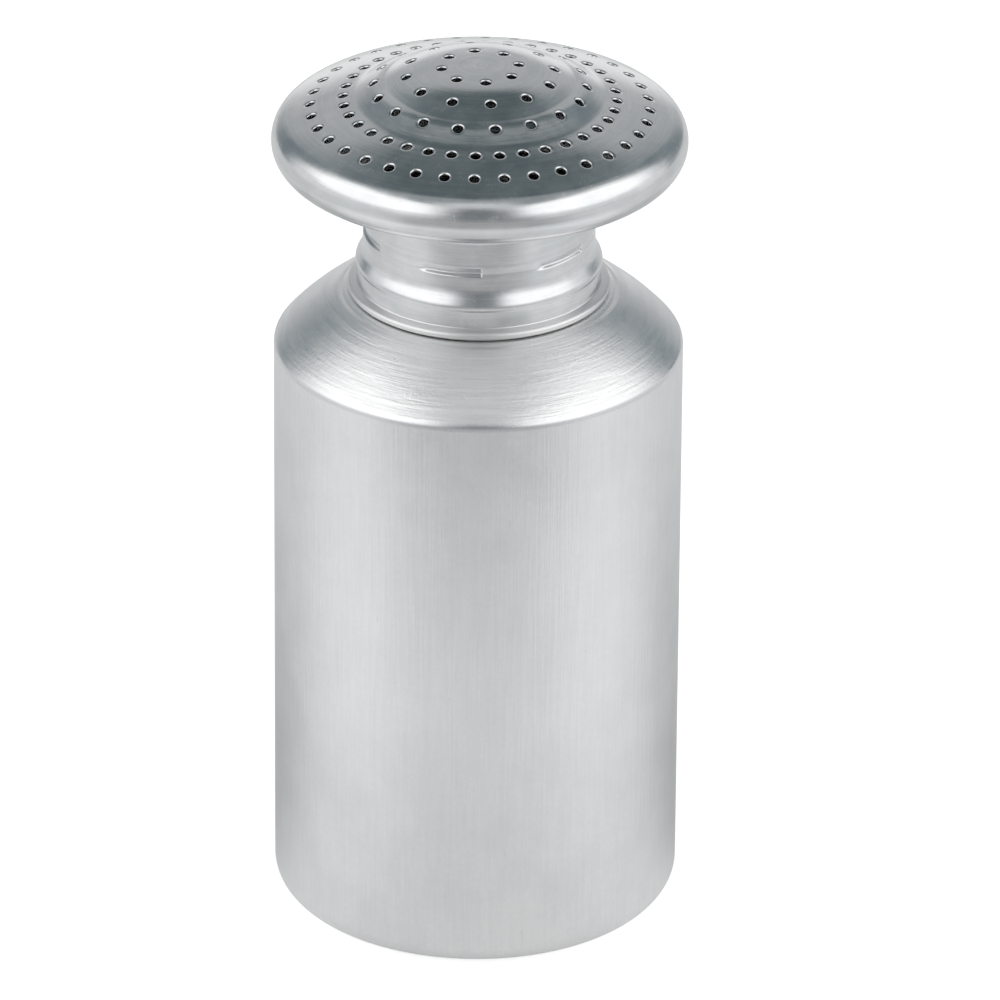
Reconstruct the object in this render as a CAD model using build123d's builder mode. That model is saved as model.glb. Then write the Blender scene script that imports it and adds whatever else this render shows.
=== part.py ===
from build123d import *
from math import asin, cos, degrees, hypot, radians, sin, tan
import os

# Shaker for icing sugar, flour or spice: a drawn aluminium bottle and a spun mushroom cap that
# screws onto its neck.  Millimetres, +Z up.  The origin is on the axis, in the plane of the base.
# Every piece is turned about Z, so a profile has the radius along its X and the height along its Y.
# Bends under 1 mm radius are drawn as plain corners.

# ---------------------------------------------------------------- bottle
body_radius = 42.5           # outside of the straight wall
bottle_wall = 1.0
wall_height = 125.45         # top of the straight wall, where its edge bends in
base_edge_radius = 5.5
foot_inner_radius = 31.0     # inner edge of the flat ring that the bottle stands on
base_recess = 1.2            # rise of the middle of the base above that ring
recess_run = 3.0             # radial width of the slope between the two
shoulder_edge_radius = 1.8
shoulder_foot_angle = 49.0   # the shoulder is slightly domed: degrees above the horizontal
shoulder_top_angle = 32.0
land_run = 1.1               # flat land between the shoulder and the middle of the seat's step
seat_step = 0.45
seat_step_run = 0.8
seat_margin = 0.8            # from the cap's hem out to the middle of the step
neck_height = 10.7           # above the seat

# ---------------------------------------------------------------- cap
cap_wall = 0.8
cap_height = 50.0            # from the underside of the hem to the top of the crown
hem_clearance = 0.1          # between hem and seat when the cap is screwed down

crown_radius = 9.3           # rim of the nearly flat crown
crown_arc_radius = 98.0
brow_arc_radius = 25.0       # rounding from the crown into the first slope
brow_flat_count = 4          # the perforated roundings are laid out in this many narrow cones
dome_flat_count = 4
upper_angle = 26.0           # slopes of the dome, in degrees below the horizontal
ledge_angle = 12.0
lower_angle = 32.0
outer_angle = 12.0
rim_angle = 25.0
upper_run = 1.71             # radial runs of the first three slopes
ledge_run = 1.8
lower_run = 3.85
ledge_bend_radius = 2.5
brim_bend_radius = 4.0
foot_bend_radius = 5.0
rim_tube_radius = 5.75
rim_overhang = 0.455         # the rim stands out this far beyond the bottle's wall
underside_angle = 20.0       # slope of the underside, down towards the throat

throat_radius = 24.05        # outside of the throat under the mushroom
throat_bend_radius = 3.0
thread_room = 2.85           # from the throat's outside in to the neck's
cone_lift = 1.1              # the throat starts this far above the neck's lip
bulge_swell = 1.55           # the bulge stands out this far beyond the throat
bulge_height = 7.3           # above the underside of the hem
skirt_inset = 0.3            # the skirt's radius is this much less than the bulge's
skirt_drop = 0.8             # top of the skirt below the bulge
cone_bend_radius = 3.0
hem_gap = 1.1                # between the skirt and the hem's lip
hem_gap_depth = 0.9
hem_chamfer = 0.3            # corners inside the fold

# Holes punched in the dome in five rings, each set off from an edge of the step that it lies on
hole_counts = (8, 12, 18, 36, 36)
crown_hole_inset = 1.3       # first ring, in from the crown's rim
brow_hole_inset = 2.49       # second ring, in from the end of the brow
brim_hole_offset = 0.6       # third ring, out from the outer edge of the ledge
foot_hole_offset = 2.95      # fourth ring, out from the foot of the lower slope
rim_hole_inset = 4.64        # last ring, in from the start of the rim
hole_radius = 1.05
hole_phase_angle = 8.3       # from the front (-Y) towards +X, the same for each ring

# Ledges pressed into the throat, which stop the washer
press_count = 6
press_span_angle = 30.0      # angle that one ledge covers
press_end_angle = 1.6        # end of one ledge, from the front towards +X
press_depth = 0.6
press_rise = 2.2             # height over which a ledge fades into the throat
press_shelf = 0.3            # rise of the shelf from its outer to its inner edge

# ---------------------------------------------------------------- washer and threaded sleeve
washer_thickness = 1.5
washer_play = 0.1            # between washer and pressed ledges
washer_side_gap = 0.25       # between washer and throat
washer_inset = 0.2           # the washer's hole is this much wider than the mouth
washer_chamfer = 0.2
sleeve_fit = 0.1             # between sleeve and collar
sleeve_bore_gap = 0.3        # between the sleeve's bore and the neck
sleeve_lift = 1.0            # foot of the sleeve above the underside of the hem
sleeve_top_gap = 0.2         # between the sleeve's top and the washer
sleeve_chamfer = 0.3


def sine(angle):
    """Sine of an angle in degrees."""
    return sin(radians(angle))


def cosine(angle):
    """Cosine of an angle in degrees."""
    return cos(radians(angle))


def rise(run, angle):
    """Height gained over a radial run at a slope in degrees."""
    return run * tan(radians(angle))


def flats(arc, count):
    """Points that divide an arc evenly, to join by straight lines."""
    return [arc @ (step / count) for step in range(count + 1)]


# ---------------------------------------------------------------- radii that follow
neck_radius = throat_radius - thread_room    # at the root of the neck's thread
bulge_radius = throat_radius + bulge_swell
skirt_radius = bulge_radius - skirt_inset
hem_radius = skirt_radius + hem_gap + cap_wall
seat_radius = hem_radius + seat_margin
land_radius = seat_radius + land_run

crown_span_angle = degrees(asin(crown_radius / crown_arc_radius))
brow_radius = crown_radius + brow_arc_radius * (sine(upper_angle) - sine(crown_span_angle))
ledge_inner_radius = brow_radius + upper_run
ledge_outer_radius = ledge_inner_radius + ledge_run
foot_radius = ledge_outer_radius + lower_run
dome_start_radius = foot_radius + foot_bend_radius * (sine(lower_angle) - sine(outer_angle))
rim_start_radius = body_radius + rim_overhang - rim_tube_radius * (1 - sine(rim_angle))
dome_run = rim_start_radius - dome_start_radius
dome_arc_radius = dome_run / (sine(rim_angle) - sine(outer_angle))

# ---------------------------------------------------------------- heights that follow
edge_run = shoulder_edge_radius * (1 - sine(shoulder_foot_angle))
edge_rise = shoulder_edge_radius * cosine(shoulder_foot_angle)
shoulder_run = body_radius - edge_run - land_radius
shoulder_arc_radius = shoulder_run / (sine(shoulder_foot_angle) - sine(shoulder_top_angle))
shoulder_flattening = cosine(shoulder_top_angle) - cosine(shoulder_foot_angle)
land_z = wall_height + edge_rise + shoulder_arc_radius * shoulder_flattening
seat_z = land_z + seat_step
neck_top_z = seat_z + neck_height
hem_z = seat_z + hem_clearance
crown_z = hem_z + cap_height
cone_top_z = neck_top_z + cone_lift
bulge_z = hem_z + bulge_height
skirt_top_z = bulge_z - skirt_drop
fold_z = hem_z + cap_wall
washer_top_z = neck_top_z + washer_thickness
press_z = washer_top_z + washer_play + cap_wall

os.makedirs("parts", exist_ok=True)

# ---------------------------------------------------------------- bottle
# Drawn shell: recessed base, straight wall, domed shoulder, seat and neck
with BuildPart() as bottle:
    with BuildSketch(Plane.XZ):
        with BuildLine():
            foot_edge = foot_inner_radius, 0
            Polyline((0, base_recess), (foot_inner_radius - recess_run, base_recess), foot_edge)
            edge_foot = body_radius, wall_height
            FilletPolyline(foot_edge, (body_radius, 0), edge_foot, radius=base_edge_radius)
            edge = JernArc(edge_foot, (0, 1), shoulder_edge_radius, 90 - shoulder_foot_angle)
            shoulder_turn = shoulder_foot_angle - shoulder_top_angle
            shoulder = JernArc(edge @ 1, edge % 1, shoulder_arc_radius, shoulder_turn)
            Polyline(
                shoulder @ 1,
                (seat_radius + seat_step_run / 2, land_z),
                (seat_radius - seat_step_run / 2, seat_z),
                (neck_radius, seat_z),
                (neck_radius, neck_top_z),
            )
            offset(amount=bottle_wall, side=Side.LEFT, kind=Kind.INTERSECTION, closed=True)
        make_face()
    revolve(axis=Axis.Z)

# ---------------------------------------------------------------- shaker cap
# Spun shell, drawn from the crown outwards, round the rim, in to the throat and down to the hem,
# which is folded out and up
with BuildPart() as shaker_cap:
    with BuildSketch(Plane.XZ):
        with BuildLine():
            crown = JernArc((0, crown_z), (1, 0), crown_arc_radius, -crown_span_angle)
            brow_turn = crown_span_angle - upper_angle
            brow = JernArc(crown @ 1, crown % 1, brow_arc_radius, brow_turn, mode=Mode.PRIVATE)
            Polyline(*flats(brow, brow_flat_count))
            ledge_in_z = (brow @ 1).Y - rise(upper_run, upper_angle)
            ledge_out_z = ledge_in_z - rise(ledge_run, ledge_angle)
            foot_z = ledge_out_z - rise(lower_run, lower_angle)
            steps = FilletPolyline(
                brow @ 1,
                (ledge_inner_radius, ledge_in_z),
                (ledge_outer_radius, ledge_out_z),
                (foot_radius, foot_z),
                radius=[ledge_bend_radius, brim_bend_radius],
            )
            foot = JernArc(steps @ 1, steps % 1, foot_bend_radius, lower_angle - outer_angle)
            dome_turn = outer_angle - rim_angle
            dome = JernArc(foot @ 1, foot % 1, dome_arc_radius, dome_turn, mode=Mode.PRIVATE)
            Polyline(*flats(dome, dome_flat_count))
            rim_turn = 180 - rim_angle - underside_angle
            rim = JernArc(dome @ 1, dome % 1, rim_tube_radius, -rim_turn)
            rim_end = rim @ 1
            collar = FilletPolyline(
                rim_end,
                (throat_radius, rim_end.Y - rise(rim_end.X - throat_radius, underside_angle)),
                (throat_radius, cone_top_z),
                (bulge_radius, bulge_z),
                radius=[throat_bend_radius, cone_bend_radius],
            )
            Polyline(
                collar @ 1,
                (skirt_radius, skirt_top_z),
                (skirt_radius, fold_z + hem_chamfer),
                (skirt_radius + hem_chamfer, fold_z),
                (skirt_radius + hem_gap - hem_chamfer, fold_z),
                (skirt_radius + hem_gap, fold_z + hem_chamfer),
                (skirt_radius + hem_gap, fold_z + hem_gap_depth),
            )
            offset(amount=cap_wall, side=Side.RIGHT, kind=Kind.INTERSECTION, closed=True)
        make_face()
    revolve(axis=Axis.Z)

    # Pressed ledges: each pushes the sheet in, so it is added inside and cut away outside
    for mark in range(press_count):
        start_angle = press_end_angle - press_span_angle - 90 + mark * 360 / press_count
        outwards = (cosine(start_angle), sine(start_angle), 0)
        sideways = (sine(start_angle), -cosine(start_angle), 0)
        radial = Plane(origin=(0, 0, 0), x_dir=outwards, z_dir=sideways)
        for side_shift, side_mode in ((cap_wall, Mode.ADD), (0, Mode.SUBTRACT)):
            face_radius = throat_radius - side_shift
            shelf_z = press_z - side_shift
            with BuildSketch(radial):
                with BuildLine():
                    Polyline(
                        (face_radius + cap_wall / 4, shelf_z),
                        (face_radius, shelf_z),
                        (face_radius - press_depth, shelf_z + press_shelf),
                        (face_radius, shelf_z + press_rise),
                        (face_radius + cap_wall / 4, shelf_z + press_rise),
                        close=True,
                    )
                make_face()
            revolve(axis=Axis.Z, revolution_arc=press_span_angle, mode=side_mode)

    # Punched holes, ring by ring; the punch stops level with the middle of the rim
    ring_radii = (
        crown_radius - crown_hole_inset,
        brow_radius - brow_hole_inset,
        ledge_outer_radius + brim_hole_offset,
        foot_radius + foot_hole_offset,
        rim_start_radius - rim_hole_inset,
    )
    punch_depth = crown_z - rim_end.Y - rim_tube_radius * cosine(underside_angle)
    for ring_radius, hole_count in zip(ring_radii, hole_counts):
        with Locations(Plane.XY.offset(crown_z)):
            with PolarLocations(ring_radius, hole_count, start_angle=hole_phase_angle - 90):
                Hole(radius=hole_radius, depth=punch_depth)

# ---------------------------------------------------------------- sealing washer
# Flat ring between the neck's lip and the pressed ledges
with BuildPart() as sealing_washer:
    with BuildSketch(Plane.XY.offset(neck_top_z)):
        Circle(throat_radius - cap_wall - washer_side_gap)
        Circle(neck_radius - bottle_wall + washer_inset, mode=Mode.SUBTRACT)
    extrude(amount=washer_thickness)
    chamfer(sealing_washer.edges().filter_by(GeomType.CIRCLE), length=washer_chamfer)

# ---------------------------------------------------------------- threaded sleeve
# Moulded ring pressed into the collar; its outside follows the skirt and the cone above it
cone_lean = (bulge_radius - throat_radius) / (cone_top_z - bulge_z)
cone_inset = (cap_wall + sleeve_fit) * hypot(1, cone_lean)
sleeve_radius = skirt_radius - cap_wall - sleeve_fit
sleeve_bore = neck_radius + sleeve_bore_gap
sleeve_foot_z = hem_z + sleeve_lift
sleeve_top_z = neck_top_z - sleeve_top_gap
sleeve_cone_z = cone_top_z - (sleeve_radius - throat_radius + cone_inset) / cone_lean
sleeve_top_radius = throat_radius - cone_inset + (cone_top_z - sleeve_top_z) * cone_lean
with BuildPart() as threaded_sleeve:
    with BuildSketch(Plane.XZ):
        with BuildLine():
            Polyline(
                (sleeve_bore, sleeve_foot_z),
                (sleeve_radius, sleeve_foot_z),
                (sleeve_radius, sleeve_cone_z),
                (sleeve_top_radius, sleeve_top_z),
                (sleeve_bore, sleeve_top_z),
                close=True,
            )
        make_face()
    revolve(axis=Axis.Z)
    chamfer(threaded_sleeve.edges().group_by(Axis.Z)[0], length=sleeve_chamfer)

# ---------------------------------------------------------------- files
bottle.part.label = "bottle"
shaker_cap.part.label = "shaker_cap"
sealing_washer.part.label = "sealing_washer"
threaded_sleeve.part.label = "threaded_sleeve"

export_step(bottle.part, "parts/bottle.step")
export_step(shaker_cap.part, "parts/shaker_cap.step")
export_step(sealing_washer.part, "parts/sealing_washer.step")
export_step(threaded_sleeve.part, "parts/threaded_sleeve.step")
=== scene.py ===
from math import asin, atan2, ceil, cos, degrees, hypot, pi, radians, sin, tan

import bmesh
import bpy
from mathutils import Matrix, Vector


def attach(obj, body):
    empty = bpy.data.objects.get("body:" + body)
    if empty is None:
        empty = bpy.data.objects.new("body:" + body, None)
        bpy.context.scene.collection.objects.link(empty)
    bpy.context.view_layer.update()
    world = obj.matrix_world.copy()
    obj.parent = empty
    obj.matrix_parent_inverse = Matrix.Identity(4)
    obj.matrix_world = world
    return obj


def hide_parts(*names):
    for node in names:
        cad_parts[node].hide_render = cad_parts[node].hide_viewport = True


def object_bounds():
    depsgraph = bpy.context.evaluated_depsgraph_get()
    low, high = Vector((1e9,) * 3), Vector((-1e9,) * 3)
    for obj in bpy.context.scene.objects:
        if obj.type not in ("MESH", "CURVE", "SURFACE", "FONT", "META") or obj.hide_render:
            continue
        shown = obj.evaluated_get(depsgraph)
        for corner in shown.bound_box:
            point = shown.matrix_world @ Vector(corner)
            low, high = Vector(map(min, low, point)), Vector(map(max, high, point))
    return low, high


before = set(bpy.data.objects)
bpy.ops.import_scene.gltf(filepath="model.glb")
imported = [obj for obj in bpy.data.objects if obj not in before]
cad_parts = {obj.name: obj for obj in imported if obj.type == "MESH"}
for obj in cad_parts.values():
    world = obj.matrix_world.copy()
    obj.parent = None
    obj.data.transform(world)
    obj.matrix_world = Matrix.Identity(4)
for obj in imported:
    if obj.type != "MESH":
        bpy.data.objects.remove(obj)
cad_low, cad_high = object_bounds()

# Powder shaker: a drawn aluminium bottle, and a spun mushroom cap with punched holes that screws
# onto it.  Sizes are in millimetres until a mesh is made.  Heights are above the base.
MM = 0.001

# ---------------------------------------------------------------- bottle sizes
BODY_RADIUS = 42.5
BOTTLE_WALL = 1.0
WALL_HEIGHT = 125.45
BASE_EDGE_BEND = 5.5
FOOT_INNER_RADIUS = 31.0
BASE_RECESS = 1.2
RECESS_RUN = 3.0
RECESS_BEND = 1.8
SHOULDER_EDGE_BEND = 1.8
SHOULDER_FOOT_SLOPE = 49.0
SHOULDER_TOP_SLOPE = 32.0
LAND_RADIUS = 29.1
LAND_BEND = 1.4
SEAT_RADIUS = 28.0
SEAT_STEP = 0.45
SEAT_STEP_RUN = 0.8
STEP_BEND = 0.5
SEAT_BEND = 1.3
NECK_RADIUS = 21.2
NECK_HEIGHT = 10.7
NECK_BEND = 0.8

# ---------------------------------------------------------------- cap sizes
CAP_WALL = 0.8
CAP_HEIGHT = 50.0
HEM_CLEARANCE = 0.1
CROWN_RADIUS = 9.3
CROWN_BEND = 98.0
BROW_BEND = 25.0
UPPER_SLOPE = 26.0
LEDGE_SLOPE = 12.0
LOWER_SLOPE = 32.0
OUTER_SLOPE = 12.0
RIM_SLOPE = 25.0
LEDGE_INNER_RADIUS = 19.6
LEDGE_OUTER_RADIUS = 21.4
FOOT_RADIUS = 25.25
LEDGE_BEND = 2.5
BRIM_BEND = 4.0
FOOT_BEND = 5.0
OUTER_DOME_BEND = 59.5
RIM_BEND = 5.75
UNDERSIDE_SLOPE = 20.0
THROAT_RADIUS = 24.05
THROAT_BEND = 3.0
CONE_TOP = 9.7
BULGE = 6.6
SKIRT_TOP = 5.7
BULGE_RADIUS = 25.8
SKIRT_RADIUS = 25.3
CONE_BEND = 5.0
BULGE_BEND = 1.6
SKIRT_BEND = 0.3
BEAD_RADIUS = 27.2
BEAD_BEND = 0.9
BEAD_SLOPE = 14.0
TUCK_BEND = 0.3

# Rings of punched holes: radius, number of holes, mesh columns across one cell of the ring
HOLE_RINGS = ((8.0, 8, 18), (15.4, 12, 12), (22.0, 18, 8), (28.2, 36, 4), (35.0, 36, 4))
HOLE_RADIUS = 1.05
HOLE_PHASE = 8.3
HOLE_ROLLOVER = 0.5
HOLE_DIMPLE = 0.36
HOLE_MARGIN = 0.25
HOLE_INNER_MARGIN = 0.7
HOLE_BREAK = 0.06            # the broken edge inside
CELL_HALF_HEIGHT = 2.1
CELL_ROWS = 8

# Ledges pressed into the throat
PRESS_COUNT = 6
PRESS_PHASE = 1.6
PRESS_DEPTH = 0.6
PRESS_FAINT = 0.12
PRESS_RISE = 2.2
PRESS_SHELF = 0.8
PRESS_ENTRY = (0.46, 0.08)   # shares of a sixth: where the pressing begins, and its run-in
PRESS_LEAVE = 0.008          # its run-out
PRESS_MARGINS = (0.05, 0.15) # plain sheet below and above it

# Thread of 4 mm pitch, on the neck and in the sleeve
THREAD_PITCH = 4.0
THREAD_DEPTH = 0.7
THREAD_FADE = 1.5
NECK_THREAD_FOOT = 1.3       # above the seat
NECK_THREAD_INSET = 0.7      # below the neck's lip
SLEEVE_THREAD_OVERRUN = 9.0  # the sleeve's thread is cut off by its ends

# ---------------------------------------------------------------- washer and sleeve sizes
WASHER_THICKNESS = 1.5
WASHER_PLAY = 0.1
WASHER_SIDE_GAP = 0.25
WASHER_INSET = 0.2
WASHER_ROUND = 0.25
SLEEVE_FIT = 0.1
SLEEVE_BORE_GAP = 0.3
SLEEVE_LIFT = 1.0
SLEEVE_TOP_GAP = 0.2
SLEEVE_ROUND = 0.3

# ---------------------------------------------------------------- mesh fineness
COLUMNS = 144                # round the axis
COLUMN_ANGLE = 2 * pi / COLUMNS
NECK_ROWS = 40
SLEEVE_ROWS = 36
MERGE_DISTANCE = 0.002 * MM
FIRST_ANGLE = radians(HOLE_PHASE - 90)


# ---------------------------------------------------------------- sheet outlines
class SheetLine:
    """The outside of a sheet, walked with a heading in degrees: 0 is outwards, 90 is up.

    Points are (radius, height, heading).  A positive turn is anticlockwise."""

    def __init__(self, radius, height, heading):
        self.points = [(radius, height, heading)]

    def straight(self, length):
        radius, height, heading = self.points[-1]
        if length > 1e-6:
            angle = radians(heading)
            end = (radius + length * cos(angle), height + length * sin(angle), heading)
            self.points.append(end)
        return self

    def to_radius(self, radius):
        start, _, heading = self.points[-1]
        return self.straight((radius - start) / cos(radians(heading)))

    def to_height(self, height):
        _, start, heading = self.points[-1]
        return self.straight((height - start) / sin(radians(heading)))

    def bend(self, bend_radius, turn):
        """An arc, in steps that are finer on a large radius."""
        finest = 1.5 if bend_radius > 20 else 5.0 if bend_radius > 2 else 11.0
        steps = max(2, ceil(abs(turn) / finest))
        side = 1 if turn > 0 else -1
        radius, height, heading = self.points[-1]
        middle = radians(heading + 90 * side)
        centre = (radius + bend_radius * cos(middle), height + bend_radius * sin(middle))
        for step in range(1, steps + 1):
            now = heading + turn * step / steps
            back = radians(now - 90 * side)
            self.points.append(
                (centre[0] + bend_radius * cos(back), centre[1] + bend_radius * sin(back), now)
            )
        return self

    def climb(self, height, rows):
        """Straight to a height in even steps."""
        start = self.points[-1][1]
        for row in range(1, rows + 1):
            self.to_height(start + (height - start) * row / rows)
        return self

    def corner(self, new_heading, bend_radius, radius=None, height=None):
        """Goes straight towards a corner at that radius or height, and bends round it."""
        here_radius, here_height, heading = self.points[-1]
        if radius is not None:
            run = (radius - here_radius) / cos(radians(heading))
        else:
            run = (height - here_height) / sin(radians(heading))
        turn = new_heading - heading
        self.straight(run - bend_radius * tan(radians(abs(turn) / 2)))
        return self.bend(bend_radius, turn)


def lengths_along(points):
    """Distance of each point of an outline from its start."""
    total, distances = 0.0, [0.0]
    for before, after in zip(points, points[1:]):
        total += hypot(after[0] - before[0], after[1] - before[1])
        distances.append(total)
    return distances


class Sheet:
    """A sheet of even thickness behind an outline; metal_side is 1 where it lies on the left."""

    def __init__(self, line, wall, metal_side):
        self.points = line.points
        self.distances = lengths_along(line.points)
        self.wall = wall
        self.metal_side = metal_side

    def at(self, distance, lift=0.0):
        """(radius, height) at a distance along the outline, lifted off it away from the metal."""
        last = len(self.points) - 2
        index = next((i for i in range(last) if self.distances[i + 1] >= distance), last)
        span = self.distances[index + 1] - self.distances[index]
        share = (distance - self.distances[index]) / span
        before, after = self.points[index], self.points[index + 1]
        radius, height, heading = (a + (b - a) * share for a, b in zip(before, after))
        away = radians(heading - 90 * self.metal_side)
        return radius + lift * cos(away), height + lift * sin(away)

    def distance_at_radius(self, radius):
        """Where the outline, which starts on the axis, first reaches a radius."""
        for index, (before, after) in enumerate(zip(self.points, self.points[1:])):
            if before[0] <= radius <= after[0]:
                share = (radius - before[0]) / (after[0] - before[0])
                step = self.distances[index + 1] - self.distances[index]
                return self.distances[index] + share * step
        raise ValueError("the outline never reaches that radius")

    def stops(self, start, end):
        """Distances of the outline's own points between two distances, with both ends."""
        inside = [d for d in self.distances if start + 0.05 < d < end - 0.05]
        return [start] + inside + [end]

    def band(self, start, end, lift=0.0):
        """(radius, height) points of one face of the sheet between two distances."""
        return [self.at(distance, lift) for distance in self.stops(start, end)]


def round_point(radius, height, angle):
    """A mesh point in metres."""
    return Vector((radius * cos(angle), radius * sin(angle), height)) * MM


# ---------------------------------------------------------------- meshes of one sector
def plain_mesh(name, vertices, faces):
    mesh = bpy.data.meshes.new(name)
    mesh.from_pydata(vertices, [], faces)
    return mesh


def sector_strip(name, outline):
    """One column of a turned surface, for repeating round the axis."""
    vertices, faces = [], []
    for radius, height in outline:
        for side in (0, 1):
            vertices.append(round_point(radius, height, FIRST_ANGLE + side * COLUMN_ANGLE))
    for row in range(len(outline) - 1):
        corner = 2 * row
        faces.append((corner, corner + 1, corner + 3, corner + 2))
    return plain_mesh(name, vertices, faces)


def hole_edge():
    """(distance from the hole's centre, lift) from the sheet's outside, over the rolled-in edge,
    down the hole and out along the inside."""
    edge = [(HOLE_RADIUS + HOLE_ROLLOVER + HOLE_MARGIN, 0.0)]
    for turn in (0, 25, 50, 72, 90):
        reach = HOLE_ROLLOVER * (1 - sin(radians(turn)))
        drop = HOLE_DIMPLE * (1 - cos(radians(turn)))
        edge.append((HOLE_RADIUS + reach, -drop))
    edge.append((HOLE_RADIUS, HOLE_BREAK - CAP_WALL))
    edge.append((HOLE_RADIUS + HOLE_BREAK, -CAP_WALL))
    edge.append((HOLE_RADIUS + HOLE_INNER_MARGIN, -CAP_WALL))
    return edge


def hole_cell(name, sheet, ring_radius, hole_count, columns):
    """One cell of a ring of holes: loops of points from the cell's edge to the punched hole."""
    middle = sheet.distance_at_radius(ring_radius)
    half_width = pi * ring_radius / hole_count
    border = []
    for step in range(columns):
        border.append((-half_width + 2 * half_width * step / columns, -CELL_HALF_HEIGHT))
    for step in range(CELL_ROWS):
        border.append((half_width, -CELL_HALF_HEIGHT + 2 * CELL_HALF_HEIGHT * step / CELL_ROWS))
    border += [(-across, -along) for across, along in border]
    count = len(border)
    first_turn = -90 - 180 * columns / count
    circle = [radians(first_turn + 360 * step / count) for step in range(count)]

    loops = [[(across, along, 0.0) for across, along in border]]
    for reach, lift in hole_edge():
        loops.append([(reach * cos(turn), reach * sin(turn), lift) for turn in circle])
    loops.append([(across, along, -CAP_WALL) for across, along in border])

    vertices, faces = [], []
    for loop in loops:
        for across, along, lift in loop:
            radius, height = sheet.at(middle + along, lift)
            angle = FIRST_ANGLE + across / ring_radius
            vertices.append(round_point(radius, height, angle))
    for ring in range(len(loops) - 1):
        for step in range(count):
            after = (step + 1) % count
            here, below = ring * count, (ring + 1) * count
            faces.append((here + step, here + after, below + after, below + step))
    return plain_mesh(name, vertices, faces)


def press_share(angle):
    """How far a ledge is pressed in at an angle: fully before each mark, faintly after it."""
    period = 2 * pi / PRESS_COUNT
    place = ((angle - radians(PRESS_PHASE - 90)) % period) / period
    entry = min(max((place - PRESS_ENTRY[0]) / PRESS_ENTRY[1], 0), 1)
    leave = min(max((1 - place) / PRESS_LEAVE, 0), 1)
    return PRESS_FAINT + (1 - PRESS_FAINT) * entry * entry * (3 - 2 * entry) * leave


def press_fade(above):
    """How the pressing fades with the height above its shelf."""
    if above < 0:
        return 0.0
    if above < PRESS_SHELF:
        share = above / PRESS_SHELF
        return share * share * (3 - 2 * share)
    return max(0.0, 1 - (above - PRESS_SHELF) / (PRESS_RISE - PRESS_SHELF))


def press_sector(face_radius, shelf_height):
    """A sixth of one face of the throat with its pressed ledge."""
    main = [FIRST_ANGLE + COLUMN_ANGLE * step for step in range(COLUMNS // PRESS_COUNT + 1)]
    period = 2 * pi / PRESS_COUNT
    mark = FIRST_ANGLE + (radians(PRESS_PHASE - 90) - FIRST_ANGLE) % period
    extra = [mark + radians(turn) for turn in (-1.1, -0.6, -0.35, -0.1, 0.1, 0.5)]
    angles = sorted(main + extra)
    lifts = (0.0, 0.08, 0.2, 0.33, 0.46, 0.6, 0.72, 0.85, 1.1, 1.5, 1.9, 2.2)
    heights = [shelf_height + lift for lift in lifts]
    vertices, faces = [], []
    for height in heights:
        for angle in angles:
            pressed = PRESS_DEPTH * press_share(angle) * press_fade(height - shelf_height)
            vertices.append(round_point(face_radius - pressed, height, angle))
    width = len(angles)
    for row in range(len(heights) - 1):
        for column in range(width - 1):
            corner = row * width + column
            faces.append((corner, corner + 1, corner + 1 + width, corner + width))
    for height, row in ((PRESS_FOOT_Z, 0), (PRESS_TOP_Z, len(heights) - 1)):
        start = len(vertices)
        vertices += [round_point(face_radius, height, angle) for angle in main]
        for column in range(len(main) - 1):
            low, high = angles.index(main[column]), angles.index(main[column + 1])
            inner = [row * width + place for place in range(low, high + 1)]
            faces.append(inner + [start + column + 1, start + column])
    return plain_mesh("cap_ledge", vertices, faces)


# ---------------------------------------------------------------- node trees
def add_node(tree, kind, **settings):
    node = tree.nodes.new(kind)
    for name, value in settings.items():
        setattr(node, name, value)
    return node


def send(tree, value, socket):
    """Links an input to another node's output, or sets it to a plain value."""
    if isinstance(value, bpy.types.NodeSocket):
        tree.links.new(value, socket)
    else:
        socket.default_value = value


def feed(tree, node, **values):
    """Sends values to a node's inputs, which are named as keywords with _ for a space."""
    for name, value in values.items():
        send(tree, value, node.inputs[name.replace("_", " ")])
    return node


def output_of(tree, kind, **inputs):
    """The first output of a new node with these inputs."""
    return feed(tree, add_node(tree, kind), **inputs).outputs[0]


def split(tree, vector):
    """The three parts of a vector."""
    return feed(tree, add_node(tree, "ShaderNodeSeparateXYZ"), Vector=vector).outputs


def vector_result(tree, operation, *vectors, output="Vector", **inputs):
    """A Vector Math node's result."""
    node = feed(tree, add_node(tree, "ShaderNodeVectorMath", operation=operation), **inputs)
    for socket, vector in zip(node.inputs, vectors):
        tree.links.new(vector, socket)
    return node.outputs[output]


def calculate(tree, operation, first, second=None, third=None, clamp=False):
    """A Math node's result."""
    node = add_node(tree, "ShaderNodeMath", operation=operation, use_clamp=clamp)
    for socket, value in zip(node.inputs, (first, second, third)):
        if value is not None:
            send(tree, value, socket)
    return node.outputs[0]


def product(tree, first, *others):
    """The product of sockets and numbers."""
    for value in others:
        first = calculate(tree, "MULTIPLY", first, value)
    return first


def new_geometry_tree(name, inputs):
    """A tree with a geometry input and output, and inputs given as name, socket type and value."""
    tree = bpy.data.node_groups.new(name, "GeometryNodeTree")
    interface = tree.interface
    interface.new_socket("Geometry", in_out="INPUT", socket_type="NodeSocketGeometry")
    shared_inputs = (
        ("Merge Distance", "NodeSocketFloat", MERGE_DISTANCE),
        ("Material", "NodeSocketMaterial", None),
    )
    for label, kind, value in inputs + shared_inputs:
        socket = interface.new_socket(label, in_out="INPUT", socket_type=kind)
        if value is not None:
            socket.default_value = value
    interface.new_socket("Geometry", in_out="OUTPUT", socket_type="NodeSocketGeometry")
    return tree, tree.nodes.new("NodeGroupInput"), tree.nodes.new("NodeGroupOutput")


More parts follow.
